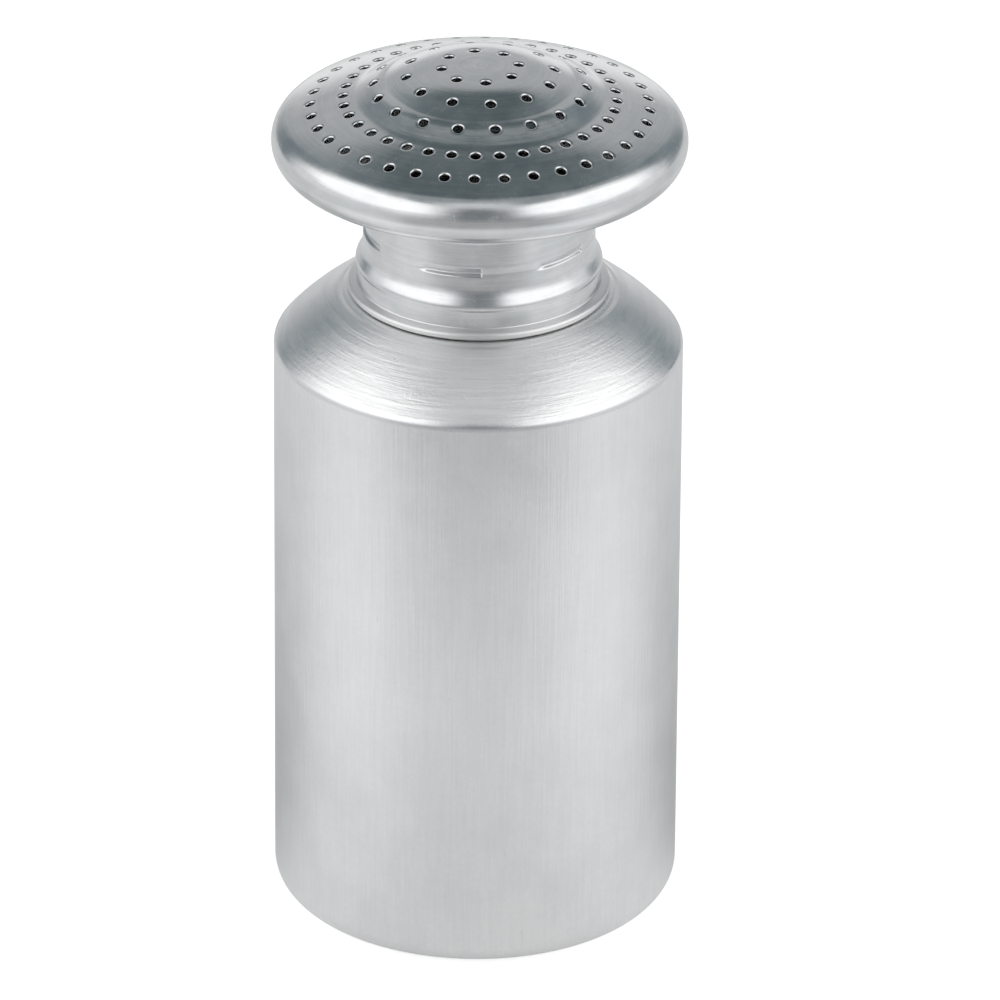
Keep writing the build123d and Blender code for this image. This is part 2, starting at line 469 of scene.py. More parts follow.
def finish_geometry_tree(tree, given, output, shape):
    """Ends a tree in Realize Instances, a merge, smooth shading and Set Material."""
    reach, material = given.outputs["Merge Distance"], given.outputs["Material"]
    shape = output_of(tree, "GeometryNodeRealizeInstances", Geometry=shape)
    shape = output_of(tree, "GeometryNodeMergeByDistance", Geometry=shape, Distance=reach)
    shape = output_of(tree, "GeometryNodeSetShadeSmooth", Geometry=shape)
    shape = output_of(tree, "GeometryNodeSetMaterial", Geometry=shape, Material=material)
    feed(tree, output, Geometry=shape)


def build_repeat_tree():
    """Copies one sector round the Z axis: columns of a turned surface, holes or ledges."""
    tree, given, output = new_geometry_tree(
        "repeat_round_axis", (("Copies", "NodeSocketInt", COLUMNS),)
    )
    sector, count = given.outputs["Geometry"], given.outputs["Copies"]
    line = add_node(tree, "GeometryNodeMeshLine", mode="OFFSET")
    points = feed(tree, line, Count=count, Offset=(0, 0, 0)).outputs[0]
    turn = calculate(tree, "DIVIDE", 2 * pi, count)
    angle = product(tree, output_of(tree, "GeometryNodeInputIndex"), turn)
    rotation = output_of(tree, "ShaderNodeCombineXYZ", Z=angle)
    kind = "GeometryNodeInstanceOnPoints"
    copies = output_of(tree, kind, Points=points, Instance=sector, Rotation=rotation)
    finish_geometry_tree(tree, given, output, copies)
    return tree


def build_thread_tree():
    """Raises a screw thread on a turned surface, between two heights where it fades out."""
    tree, given, output = new_geometry_tree(
        "rolled_thread",
        (
            ("Pitch", "NodeSocketFloat", THREAD_PITCH * MM),
            ("Depth", "NodeSocketFloat", THREAD_DEPTH * MM),
            ("Foot", "NodeSocketFloat", 0.0),
            ("Top", "NodeSocketFloat", 1.0),
            ("Fade", "NodeSocketFloat", THREAD_FADE * MM),
            ("Outer Limit", "NodeSocketFloat", 1.0),
        ),
    )
    across, along, height = split(tree, output_of(tree, "GeometryNodeInputPosition"))
    angle = calculate(tree, "ARCTAN2", along, across)
    climb = calculate(tree, "DIVIDE", height, given.outputs["Pitch"])
    turns = product(tree, angle, 1 / (2 * pi))
    phase = product(tree, calculate(tree, "SUBTRACT", climb, turns), 2 * pi)
    wave = calculate(tree, "MULTIPLY_ADD", calculate(tree, "COSINE", phase), 0.5, 0.5)
    above = calculate(tree, "SUBTRACT", height, given.outputs["Foot"])
    below = calculate(tree, "SUBTRACT", given.outputs["Top"], height)
    nearest = calculate(tree, "MINIMUM", above, below)
    fade = calculate(tree, "DIVIDE", nearest, given.outputs["Fade"], clamp=True)
    flat = output_of(tree, "ShaderNodeCombineXYZ", X=across, Y=along)
    radius = vector_result(tree, "LENGTH", flat, output="Value")
    room = calculate(tree, "SUBTRACT", given.outputs["Outer Limit"], radius)
    near_bore = calculate(tree, "DIVIDE", room, THREAD_DEPTH * MM, clamp=True)
    lift = product(tree, wave, fade, near_bore, given.outputs["Depth"])
    shift = vector_result(tree, "SCALE", vector_result(tree, "NORMALIZE", flat), Scale=lift)
    turned = given.outputs["Geometry"]
    moved = output_of(tree, "GeometryNodeSetPosition", Geometry=turned, Offset=shift)
    finish_geometry_tree(tree, given, output, moved)
    return tree


def run_tree(tree, mesh, **values):
    """A plain mesh made by a geometry tree from a mesh, with named inputs given by keyword."""
    carrier = bpy.data.objects.new(mesh.name, mesh)
    bpy.context.scene.collection.objects.link(carrier)
    modifier = carrier.modifiers.new(tree.name, "NODES")
    modifier.node_group = tree
    for item in tree.interface.items_tree:
        label = item.name.replace(" ", "_")
        if item.in_out == "INPUT" and label in values:
            modifier[item.identifier] = values[label]
    graph = bpy.context.evaluated_depsgraph_get()
    result = bpy.data.meshes.new_from_object(carrier.evaluated_get(graph))
    carrier.modifiers.remove(modifier)
    bpy.data.objects.remove(carrier)
    return result


# The body that each CAD node rides on, and its slot
NODES = {
    "bottle": ("bottle", "satin_aluminium"),
    "shaker_cap": ("cap", "bright_aluminium"),
    "threaded_sleeve": ("cap", "sleeve_plastic"),
    "sealing_washer": ("washer", "washer_rubber"),
}


def finished_piece(name, meshes, material, node):
    """Joins meshes into one closed piece that stands for a CAD node."""
    whole = bmesh.new()
    for mesh in meshes:
        whole.from_mesh(mesh)
    bmesh.ops.remove_doubles(whole, verts=whole.verts, dist=MERGE_DISTANCE)
    bmesh.ops.dissolve_degenerate(whole, edges=whole.edges, dist=MERGE_DISTANCE / 2)
    bmesh.ops.recalc_face_normals(whole, faces=whole.faces)
    mesh = bpy.data.meshes.new(name)
    whole.to_mesh(mesh)
    whole.free()
    mesh.materials.clear()
    mesh.materials.append(material)
    for face in mesh.polygons:
        face.material_index = 0
        face.use_smooth = True
    piece = bpy.data.objects.new(name, mesh)
    bpy.context.scene.collection.objects.link(piece)
    body, slot = NODES[node]
    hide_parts(node)
    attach(piece, body)


# ---------------------------------------------------------------- heights that follow
def shoulder_line():
    """The bottle's outside from the middle of the base to the top of the shoulder."""
    line = SheetLine(0, BASE_RECESS, 0)
    recess_slope = degrees(atan2(-BASE_RECESS, RECESS_RUN))
    line.corner(recess_slope, RECESS_BEND, radius=FOOT_INNER_RADIUS - RECESS_RUN)
    line.corner(0, RECESS_BEND, radius=FOOT_INNER_RADIUS)
    line.corner(90, BASE_EDGE_BEND, radius=BODY_RADIUS)
    line.to_height(WALL_HEIGHT)
    line.bend(SHOULDER_EDGE_BEND, 90 - SHOULDER_FOOT_SLOPE)
    foot, top = radians(SHOULDER_FOOT_SLOPE), radians(SHOULDER_TOP_SLOPE)
    land_tangent = LAND_BEND * tan(top / 2)
    run = line.points[-1][0] - LAND_RADIUS - land_tangent * cos(top)
    line.bend(run / (sin(foot) - sin(top)), SHOULDER_FOOT_SLOPE - SHOULDER_TOP_SLOPE)
    return line.corner(180, LAND_BEND, radius=LAND_RADIUS)


LAND_Z = shoulder_line().points[-1][1]
SEAT_Z = LAND_Z + SEAT_STEP
NECK_TOP_Z = cad_high.z / MM - CAP_HEIGHT - HEM_CLEARANCE + NECK_HEIGHT
HEM_Z = cad_high.z / MM - CAP_HEIGHT
CROWN_Z = cad_high.z / MM
CONE_TOP_Z = HEM_Z + CONE_TOP
WASHER_TOP_Z = NECK_TOP_Z + WASHER_THICKNESS
PRESS_Z = WASHER_TOP_Z + WASHER_PLAY + CAP_WALL
PRESS_FOOT_Z = PRESS_Z - CAP_WALL - PRESS_MARGINS[0]
PRESS_TOP_Z = PRESS_Z + PRESS_RISE + PRESS_MARGINS[1]


# ---------------------------------------------------------------- pieces
def rounded_lip(sheet):
    """Points round the cut end of a sheet, from its outside to its inside."""
    radius, height, heading = sheet.points[-1]
    ahead, away = radians(heading), radians(heading - 90 * sheet.metal_side)
    half = sheet.wall / 2
    points = []
    for turn in range(20, 180, 20):
        forward = half * sin(radians(turn))
        lift = half * (cos(radians(turn)) - 1)
        points.append(
            (
                radius + forward * cos(ahead) + lift * cos(away),
                height + forward * sin(ahead) + lift * sin(away),
            )
        )
    return points


def both_faces(sheet):
    """The outside of a whole sheet, round its lip and back along its inside."""
    end = sheet.distances[-1]
    outside = sheet.band(0, end)
    inside = sheet.band(0, end, -sheet.wall)
    return outside + rounded_lip(sheet) + inside[::-1]


def turned_piece(trees, outline, name, material, node, thread=None):
    """A piece turned from one outline, with a screw thread where a thread's inputs are given."""
    repeat_round_axis, rolled_thread = trees
    mesh = sector_strip(name, outline)
    mesh = run_tree(repeat_round_axis, mesh, Copies=COLUMNS, Material=material)
    if thread:
        mesh = run_tree(rolled_thread, mesh, Material=material, **thread)
    finished_piece(name, [mesh], material, node)


def make_bottle(trees, material):
    line = shoulder_line()
    step_slope = degrees(atan2(SEAT_STEP, -SEAT_STEP_RUN))
    line.corner(step_slope, STEP_BEND, radius=SEAT_RADIUS + SEAT_STEP_RUN / 2)
    line.corner(180, SEAT_BEND, radius=SEAT_RADIUS - SEAT_STEP_RUN / 2)
    line.corner(90, NECK_BEND, radius=NECK_RADIUS)
    line.climb(NECK_TOP_Z - BOTTLE_WALL / 2, NECK_ROWS)
    outline = both_faces(Sheet(line, BOTTLE_WALL, 1))
    thread = {
        "Foot": (SEAT_Z + NECK_THREAD_FOOT) * MM,
        "Top": (NECK_TOP_Z - NECK_THREAD_INSET) * MM,
    }
    turned_piece(trees, outline, "bottle_shell", material, "bottle", thread)


def cap_lines():
    """The cap's outside: from the crown to the throat, and from below the ledges to the hem."""
    crown_span = degrees(asin(CROWN_RADIUS / CROWN_BEND))
    upper = SheetLine(0, CROWN_Z, 0)
    upper.bend(CROWN_BEND, -crown_span)
    upper.bend(BROW_BEND, crown_span - UPPER_SLOPE)
    upper.corner(-LEDGE_SLOPE, LEDGE_BEND, radius=LEDGE_INNER_RADIUS)
    upper.corner(-LOWER_SLOPE, BRIM_BEND, radius=LEDGE_OUTER_RADIUS)
    upper.to_radius(FOOT_RADIUS)
    upper.bend(FOOT_BEND, LOWER_SLOPE - OUTER_SLOPE)
    upper.bend(OUTER_DOME_BEND, OUTER_SLOPE - RIM_SLOPE)
    upper.bend(RIM_BEND, RIM_SLOPE + UNDERSIDE_SLOPE - 180)
    upper.corner(-90, THROAT_BEND, radius=THROAT_RADIUS)
    upper.to_height(PRESS_TOP_Z)

    cone_heading = degrees(atan2(BULGE - CONE_TOP, BULGE_RADIUS - THROAT_RADIUS))
    tuck_heading = -180 + degrees(atan2(BULGE - SKIRT_TOP, BULGE_RADIUS - SKIRT_RADIUS))
    lower = SheetLine(THROAT_RADIUS, PRESS_FOOT_Z, -90)
    lower.corner(cone_heading, CONE_BEND, height=CONE_TOP_Z)
    lower.corner(tuck_heading, BULGE_BEND, radius=BULGE_RADIUS)
    lower.corner(-90, SKIRT_BEND, radius=SKIRT_RADIUS)
    bead_start = BEAD_RADIUS - BEAD_BEND * (1 - sin(radians(BEAD_SLOPE)))
    bead_top_z = HEM_Z + BEAD_BEND * (1 + cos(radians(BEAD_SLOPE)))
    climb = (bead_start - SKIRT_RADIUS) * tan(radians(BEAD_SLOPE))
    lower.corner(-BEAD_SLOPE, TUCK_BEND, height=bead_top_z + climb)
    lower.to_radius(bead_start)
    lower.bend(BEAD_BEND, BEAD_SLOPE - 180)
    lower.straight(BEAD_BEND / 2)
    return upper, lower


def make_cap(trees, material):
    upper_line, lower_line = cap_lines()
    upper = Sheet(upper_line, CAP_WALL, -1)
    lower = Sheet(lower_line, CAP_WALL, -1)
    meshes = []

    def repeated(sector, copies):
        meshes.append(run_tree(trees[0], sector, Copies=copies, Material=material))

    band_start = 0.0
    for ring_radius, hole_count, columns in HOLE_RINGS:
        middle = upper.distance_at_radius(ring_radius)
        for lift in (0.0, -CAP_WALL):
            band = upper.band(band_start, middle - CELL_HALF_HEIGHT, lift)
            repeated(sector_strip("cap_band", band), COLUMNS)
        repeated(hole_cell("cap_hole", upper, ring_radius, hole_count, columns), hole_count)
        band_start = middle + CELL_HALF_HEIGHT
    for lift in (0.0, -CAP_WALL):
        band = upper.band(band_start, upper.distances[-1], lift)
        repeated(sector_strip("cap_rim", band), COLUMNS)
        repeated(press_sector(THROAT_RADIUS + lift, PRESS_Z + lift), PRESS_COUNT)
    repeated(sector_strip("cap_collar", both_faces(lower)), COLUMNS)
    finished_piece("cap_shell", meshes, material, "shaker_cap")


def make_sleeve(trees, material):
    cone_angle = atan2(BULGE_RADIUS - THROAT_RADIUS, CONE_TOP - BULGE)
    cone_inset = (CAP_WALL + SLEEVE_FIT) / cos(cone_angle)
    outer = SKIRT_RADIUS - CAP_WALL - SLEEVE_FIT
    bore = NECK_RADIUS + SLEEVE_BORE_GAP
    foot, top = HEM_Z + SLEEVE_LIFT, NECK_TOP_Z - SLEEVE_TOP_GAP
    cone_z = CONE_TOP_Z - (outer - THROAT_RADIUS + cone_inset) / tan(cone_angle)
    line = SheetLine(bore, top - SLEEVE_ROUND, -90)
    line.climb(foot + SLEEVE_ROUND, SLEEVE_ROWS)
    line.corner(0, SLEEVE_ROUND, height=foot)
    line.corner(90, SLEEVE_ROUND, radius=outer)
    line.corner(90 + degrees(cone_angle), SLEEVE_ROUND, height=cone_z)
    line.corner(180, SLEEVE_ROUND, height=top)
    line.corner(270, SLEEVE_ROUND, radius=bore)
    outline = [point[:2] for point in line.points]
    thread = {
        "Foot": (foot - SLEEVE_THREAD_OVERRUN) * MM,
        "Top": (top + SLEEVE_THREAD_OVERRUN) * MM,
        "Outer_Limit": (bore + 2 * THREAD_DEPTH) * MM,
    }
    turned_piece(trees, outline, "sleeve_ring", material, "threaded_sleeve", thread)


def make_washer(trees, material):
    inner = NECK_RADIUS - BOTTLE_WALL + WASHER_INSET
    outer = THROAT_RADIUS - CAP_WALL - WASHER_SIDE_GAP
    line = SheetLine(inner, WASHER_TOP_Z - WASHER_ROUND, -90)
    line.corner(0, WASHER_ROUND, height=NECK_TOP_Z)
    line.corner(90, WASHER_ROUND, radius=outer)
    line.corner(180, WASHER_ROUND, height=WASHER_TOP_Z)
    line.corner(270, WASHER_ROUND, radius=inner)
    outline = [point[:2] for point in line.points]
    turned_piece(trees, outline, "washer_ring", material, "sealing_washer")


# ---------------------------------------------------------------- effects shared by the finishes
def new_effect(name, inputs, outputs):
    """A shader node group with inputs, given as (name, value), and named outputs, all floats."""
    group = bpy.data.node_groups.new(name, "ShaderNodeTree")
    kind = "NodeSocketFloat"
    for label, value in inputs:
        socket = group.interface.new_socket(label, in_out="INPUT", socket_type=kind)
        socket.default_value = value
    for label in outputs:
        group.interface.new_socket(label, in_out="OUTPUT", socket_type=kind)
    return group, group.nodes.new("NodeGroupInput"), group.nodes.new("NodeGroupOutput")


def object_place(tree):
    """Object coordinates in millimetres: (vector, x, y, z, radius)."""
    coordinates = add_node(tree, "ShaderNodeTexCoord").outputs["Object"]
    place = vector_result(tree, "SCALE", coordinates, Scale=1 / MM)
    x, y, z = split(tree, place)
    square = calculate(tree, "MULTIPLY_ADD", x, x, product(tree, y, y))
    return place, x, y, z, calculate(tree, "SQRT", square)


def scaled_place(tree, *parts):
    """A vector of three parts, each multiplied by a scale of its own."""
    scaled = {axis: product(tree, *part) for axis, part in zip("XYZ", parts)}
    return output_of(tree, "ShaderNodeCombineXYZ", **scaled)


def noise(tree, vector, scale=1.0, detail=2.0, roughness=0.5, fourth=None):
    """A noise value between 0 and 1; fourth gives it a fourth coordinate."""
    node = add_node(tree, "ShaderNodeTexNoise", noise_dimensions="4D" if fourth else "3D")
    feed(tree, node, Vector=vector, Scale=scale, Detail=detail, Roughness=roughness)
    if fourth:
        feed(tree, node, W=fourth)
    return node.outputs[0]


def ramp(tree, value, low, high, start=0.0, end=1.0):
    """A smooth step of a value from low to high."""
    node = add_node(tree, "ShaderNodeMapRange", interpolation_type="SMOOTHSTEP")
    feed(tree, node, Value=value, From_Min=low, From_Max=high, To_Min=start, To_Max=end)
    return node.outputs[0]


def build_turned_lines():
    """Rings left by turning or spinning: they change with radius and height, and only slowly round
    the axis.  Puts out fine ones, and coarser ones that come and go, both 0 to 1."""
    group, given, output = new_effect(
        "turned_lines",
        (("Lines per mm", 3.0), ("Breaks", 0.04)),
        ("Fine", "Coarse"),
    )
    _, x, y, z, radius = object_place(group)
    for label, thin_out, low, high in (("Fine", 1.0, 0.3, 0.7), ("Coarse", 0.38, 0.42, 0.62)):
        lines = product(group, given.outputs["Lines per mm"], thin_out)
        breaks = given.outputs["Breaks"]
        place = scaled_place(group, (x, breaks), (y, breaks), (z, lines))
        rings = product(group, radius, lines)
        value = noise(group, place, detail=3.0, roughness=0.65, fourth=rings)
        group.links.new(ramp(group, value, low, high), output.inputs[label])
    return group


def build_drawn_lines():
    """Upright marks left by drawing a deep cup through a die.  Puts out the relief of the long
    streaks, and a mask of short dark nicks between them."""
    group, given, output = new_effect(
        "drawn_lines",
        (("Marks per mm", 2.0), ("Stretch", 0.12), ("Share", 0.5)),
        ("Streaks", "Nicks"),
    )
    place, x, y, z, _ = object_place(group)
    fine = given.outputs["Marks per mm"]

    def marks(longer):
        along = product(group, z, given.outputs["Stretch"], longer)
        lines = scaled_place(group, (x, fine), (y, fine), (along, fine))
        return noise(group, lines, detail=2.5, roughness=0.6)

    group.links.new(ramp(group, marks(0.2), 0.3, 0.7), output.inputs["Streaks"])
    limit = calculate(group, "MULTIPLY_ADD", given.outputs["Share"], -0.2, 0.8)
    nicks = ramp(group, marks(1.6), limit, calculate(group, "ADD", limit, 0.06))
    zones = ramp(group, noise(group, place, scale=0.06, detail=2.0), 0.45, 0.6)
    group.links.new(product(group, nicks, zones), output.inputs["Nicks"])
    return group


def build_mottle():
    """Soft uneven patches and fine speckle of handled metal.  Puts out both, 0 to 1."""
    group, given, output = new_effect(
        "mottle", (("Patch mm", 14.0), ("Speckle mm", 1.1)), ("Patches", "Speckle")
    )
    place = object_place(group)[0]
    for label, size, detail in (("Patches", "Patch mm", 3.0), ("Speckle", "Speckle mm", 2.0)):
        scale = calculate(group, "DIVIDE", 1.0, given.outputs[size])
        value = noise(group, place, scale=scale, detail=detail, roughness=0.6)
        group.links.new(ramp(group, value, 0.3, 0.7), output.inputs[label])
    return group


def build_scratches():
    """Hairline scratches in two directions with gaps between them.  Puts out a mask."""
    group, given, output = new_effect("scratches", (("Size mm", 6.0), ("Share", 0.3)), ["Mask"])
    place = object_place(group)[0]
    scale = calculate(group, "DIVIDE", 1.0, given.outputs["Size mm"])
    total = None
    for turn, stretch in (((0.4, 0.9, 0.3), 0.08), ((1.9, 0.2, 1.1), 0.1)):
        mapping = add_node(group, "ShaderNodeMapping")
        feed(group, mapping, Vector=place, Rotation=turn, Scale=(6.0, 6.0 * stretch, 6.0))
        grain = noise(group, mapping.outputs[0], scale=scale, detail=1.0)
        off_line = calculate(group, "ABSOLUTE", calculate(group, "SUBTRACT", grain, 0.5))
        thin = ramp(group, off_line, 0.0, 0.012, start=1.0, end=0.0)
        gaps = noise(group, place, scale=product(group, scale, 1.7), detail=1.0)
        limit = calculate(group, "MULTIPLY_ADD", given.outputs["Share"], -0.4, 0.75)
        kept = ramp(group, gaps, limit, calculate(group, "ADD", limit, 0.08))
        layer = product(group, thin, kept)
        total = layer if total is None else calculate(group, "MAXIMUM", total, layer)
    group.links.new(total, output.inputs["Mask"])
    return group


def build_edge_wear():
    """Where a rounded edge is rubbed bright.  Puts out a mask from how the normal turns there."""
    group, given, output = new_effect(
        "edge_wear", (("Width mm", 0.3), ("Strength", 1.0)), ["Mask"]
    )
    bevel = add_node(group, "ShaderNodeBevel", samples=4)
    feed(group, bevel, Radius=product(group, given.outputs["Width mm"], MM))
    normal = add_node(group, "ShaderNodeNewGeometry").outputs["Normal"]
    facing = vector_result(group, "DOT_PRODUCT", bevel.outputs[0], normal, output="Value")
    turned = calculate(group, "SUBTRACT", 1.0, facing)
    mask = product(group, ramp(group, turned, 0.01, 0.12), given.outputs["Strength"])
    group.links.new(mask, output.inputs["Mask"])
    return group


# ---------------------------------------------------------------- finishes
# Heights between which one finish gives way to the next
WALL_BLEND = (WALL_HEIGHT - 0.5, WALL_HEIGHT)
SHOULDER_BLEND = (WALL_HEIGHT + 0.6, WALL_HEIGHT + 1.6)
BEAD_BLEND = (HEM_Z + 1.9, HEM_Z + 2.4)
COLLAR_BLEND = (HEM_Z + 15, HEM_Z + 22)


def empty_tree(owner):
    """The cleared node tree of a new material or world."""
    owner.use_nodes = True
    owner.node_tree.nodes.clear()
    return owner.node_tree


def new_finish(name, **plain):
    """A material with a Principled BSDF whose plain sockets are set by keyword."""
    material = bpy.data.materials.new(name)
    tree = empty_tree(material)
    shader = feed(tree, add_node(tree, "ShaderNodeBsdfPrincipled"), **plain)
    feed(tree, add_node(tree, "ShaderNodeOutputMaterial"), Surface=shader.outputs[0])
    return material, tree, shader


def place_effect(tree, group, **values):
    """Puts a shared effect into a material with its own values."""
    node = add_node(tree, "ShaderNodeGroup", node_tree=group)
    return feed(tree, node, **values).outputs


def blend_colour(tree, share, below, above):
    """One colour over another by a share; the lower one may be another node's output."""
    node = feed(tree, add_node(tree, "ShaderNodeMix", data_type="RGBA"), Factor=share)
    lower, upper = node.inputs[6:8]
    send(tree, (*below, 1) if isinstance(below, tuple) else below, lower)
    send(tree, (*above, 1), upper)
    return node.outputs[2]


def weigh(tree, base, *terms):
    """A number and a sum of (value, weight) pairs."""
    for value, weight in terms:
        base = calculate(tree, "MULTIPLY_ADD", value, weight, base)
    return base


def surface(tree, shader, colour, roughness, height, depth):
    """Feeds a finish's colour and roughness, and a height as a relief that deep in millimetres."""
    kind = "ShaderNodeBump"
    relief = output_of(tree, kind, Height=height, Strength=1.0, Distance=depth * MM)
    feed(tree, shader, Base_Color=colour, Roughness=roughness, Normal=relief)


def brush_round_axis(tree, shader, share):
    """Widens highlights across lines that run round the axis, by a share."""
    tangent = add_node(tree, "ShaderNodeTangent", direction_type="RADIAL", axis="Z")
    feed(tree, shader, Tangent=tangent.outputs[0], Anisotropic=share, Anisotropic_Rotation=0.25)


def satin_aluminium(effects):
    """Drawn aluminium: upright drawing marks on the wall, turned rings on the shoulder."""
    material, tree, shader = new_finish("satin_aluminium", Metallic=1.0)
    height_mm = object_place(tree)[3]
    on_shoulder = ramp(tree, height_mm, *SHOULDER_BLEND)
    on_wall = ramp(tree, height_mm, *WALL_BLEND, start=1.0, end=0.0)
    plain = calculate(tree, "ADD", on_shoulder, on_wall)
    on_edge = calculate(tree, "SUBTRACT", 1.0, plain, clamp=True)
    turned = place_effect(tree, effects["turned_lines"], Lines_per_mm=2.0, Breaks=0.055)
    drawn = place_effect(tree, effects["drawn_lines"], Marks_per_mm=1.7, Stretch=0.16, Share=0.5)
    mottle = place_effect(tree, effects["mottle"], Patch_mm=15.0, Speckle_mm=0.9)
    scratches = place_effect(tree, effects["scratches"], Size_mm=9.0, Share=0.25)["Mask"]
    wear = place_effect(tree, effects["edge_wear"], Width_mm=0.4, Strength=0.6)["Mask"]
    coarse = product(tree, turned["Coarse"], on_shoulder)
    fine = product(tree, turned["Fine"], on_shoulder)
    peel = product(tree, mottle["Speckle"], on_shoulder)
    streaks = product(tree, drawn["Streaks"], on_wall)
    nicks = product(tree, drawn["Nicks"], on_wall)
    roughness = weigh(
        tree,
        0.35,
        (mottle["Patches"], 0.06),
        (mottle["Speckle"], 0.03),
        (streaks, -0.04),
        (coarse, -0.08),
        (scratches, -0.06),
        (wear, -0.08),
        (on_shoulder, -0.02),
        (on_edge, -0.13),
    )
    shade = weigh(
        tree,
        0.2,
        (mottle["Patches"], 0.45),
        (mottle["Speckle"], 0.2),
        (streaks, 0.25),
        (coarse, 0.75),
        (fine, 0.2),
        (nicks, -0.9),
        # Painted light: the whole shoulder is made paler, which stands in for the brighter light it
        # catches.
        (on_shoulder, 0.15),
        # Painted shade: the bend between wall and shoulder is made darker, which dims its highlight
        # and stands in for a dark reflected line.
        (on_edge, -0.9),
    )
    colour = blend_colour(tree, shade, (0.75, 0.755, 0.765), (0.86, 0.86, 0.86))
    rings = weigh(tree, 0.0, (fine, 0.4), (coarse, 0.55), (peel, 0.3))
    relief = weigh(tree, rings, (streaks, 0.6), (scratches, -0.3))
    surface(tree, shader, colour, roughness, relief, 0.035)
    brush_round_axis(tree, shader, product(tree, on_shoulder, 0.4))
    return material


def bright_aluminium(effects):
    """Spun aluminium: nearly bright, with fine rings, hairlines and rubbed edges; the rolled bead
    at the hem is duller, and its colour is made paler as painted light."""
    material, tree, shader = new_finish("bright_aluminium", Metallic=1.0)
    height_mm = object_place(tree)[3]
    on_collar = ramp(tree, height_mm, *COLLAR_BLEND, start=1.0, end=0.0)
    on_bead = ramp(tree, height_mm, *BEAD_BLEND, start=1.0, end=0.0)
    turned = place_effect(tree, effects["turned_lines"], Lines_per_mm=2.6, Breaks=0.06)
    mottle = place_effect(tree, effects["mottle"], Patch_mm=8.0, Speckle_mm=0.9)
    scratches = place_effect(tree, effects["scratches"], Size_mm=5.0, Share=0.4)["Mask"]
    wear = place_effect(tree, effects["edge_wear"], Width_mm=0.25, Strength=1.0)["Mask"]
    roughness = weigh(
        tree,
        0.12,
        (mottle["Patches"], 0.08),
        (mottle["Speckle"], 0.02),
        (turned["Fine"], 0.04),
        (scratches, 0.08),
        (wear, -0.05),
        (on_collar, 0.04),
        (on_bead, 0.2),
    )
    shade = weigh(
        tree,
        0.0,
        (mottle["Patches"], 0.55),
        (turned["Coarse"], 0.25),
        (turned["Fine"], 0.15),
        (wear, 1.1),
        # Painted light: the rolled bead is made paler, which stands in for the light it catches;
        # its higher roughness above is its finish.
        (on_bead, 1.3),
    )
    colour = blend_colour(tree, shade, (0.63, 0.65, 0.66), (0.79, 0.79, 0.79))
    rings = weigh(tree, 0.0, (turned["Fine"], 0.15), (turned["Coarse"], 0.3))
    relief = weigh(tree, rings, (mottle["Speckle"], 0.15), (scratches, -0.3))
    surface(tree, shader, colour, roughness, relief, 0.012)
    brush_round_axis(tree, shader, 0.3)
    return material


def sleeve_plastic(effects):
    """Moulded natural white plastic with a faint moulding grain."""
    material, tree, shader = new_finish("sleeve_plastic", Metallic=0.0)
    mottle = place_effect(tree, effects["mottle"], Patch_mm=9.0, Speckle_mm=0.3)
    wear = place_effect(tree, effects["edge_wear"], Width_mm=0.3, Strength=0.5)["Mask"]
    colour = blend_colour(tree, mottle["Patches"], (0.84, 0.84, 0.81), (0.88, 0.88, 0.85))
    roughness = weigh(tree, 0.42, (mottle["Speckle"], 0.08), (wear, -0.08))
    surface(tree, shader, colour, roughness, mottle["Speckle"], 0.01)
    return material


def washer_rubber(effects):
    """Matt food-grade silicone with a fine moulding grain."""
    material, tree, shader = new_finish("washer_rubber", Metallic=0.0)
    mottle = place_effect(tree, effects["mottle"], Patch_mm=6.0, Speckle_mm=0.25)
    colour = blend_colour(tree, mottle["Speckle"], (0.76, 0.76, 0.74), (0.82, 0.82, 0.80))
    roughness = weigh(tree, 0.6, (mottle["Patches"], 0.1), (mottle["Speckle"], 0.06))
    surface(tree, shader, colour, roughness, mottle["Speckle"], 0.015)
    return material


# ---------------------------------------------------------------- studio
# What the object sees, as soft patches painted over each other in this order.  Each has its turn
# from the front to either side and its height above the horizon, half its width and height, the
# softness of its edge as a share of them, and its colour.  Angles are in degrees.
WALL = (0.50, 0.51, 0.52)
FAR_TABLE = (0.62, 0.62, 0.63)
PATCHES = (
    ("dark ceiling", 0, 90, 1000, 33, 0.35, (0.345, 0.37, 0.38)),
    ("back ceiling", 180, 70, 64, 26, 0.2, (0.115, 0.145, 0.155)),
    ("front ceiling", 0, 62, 30, 14, 0.5, (0.76, 0.77, 0.78)),
    ("side wall", 74, 12, 50, 26, 0.22, (0.86, 0.86, 0.87)),
    ("side softbox", 67, 33, 42, 23, 0.25, (1.46, 1.46, 1.46)),
    ("dark screen", 136, 20, 14, 34, 0.6, (0.21, 0.25, 0.27)),
    ("dark figure", 0, 20, 16, 30, 0.45, (0.23, 0.25, 0.265)),
    ("camera table", 0, -6, 30, 12, 0.5, (0.34, 0.35, 0.36)),
    ("white backdrop", 180, -2, 16, 14, 0.4, (1.0, 1.0, 1.0)),
)
WHITE = (1, 1, 1, 1)


def patch_mask(tree, away, height, place, lift, half_width, half_height, softness):
    """1 inside a rounded box of directions and 0 outside it."""
    total = 0.0
    for value, middle, half in ((away, place, half_width), (height, lift, half_height)):
        offset = calculate(tree, "DIVIDE", calculate(tree, "SUBTRACT", value, middle), half)
        cube = calculate(tree, "POWER", calculate(tree, "ABSOLUTE", offset), 3.0)
        total = calculate(tree, "ADD", total, cube)
    reach = calculate(tree, "POWER", total, 1 / 3)
    return ramp(tree, reach, 1 - softness, 1 + softness, start=1.0, end=0.0)


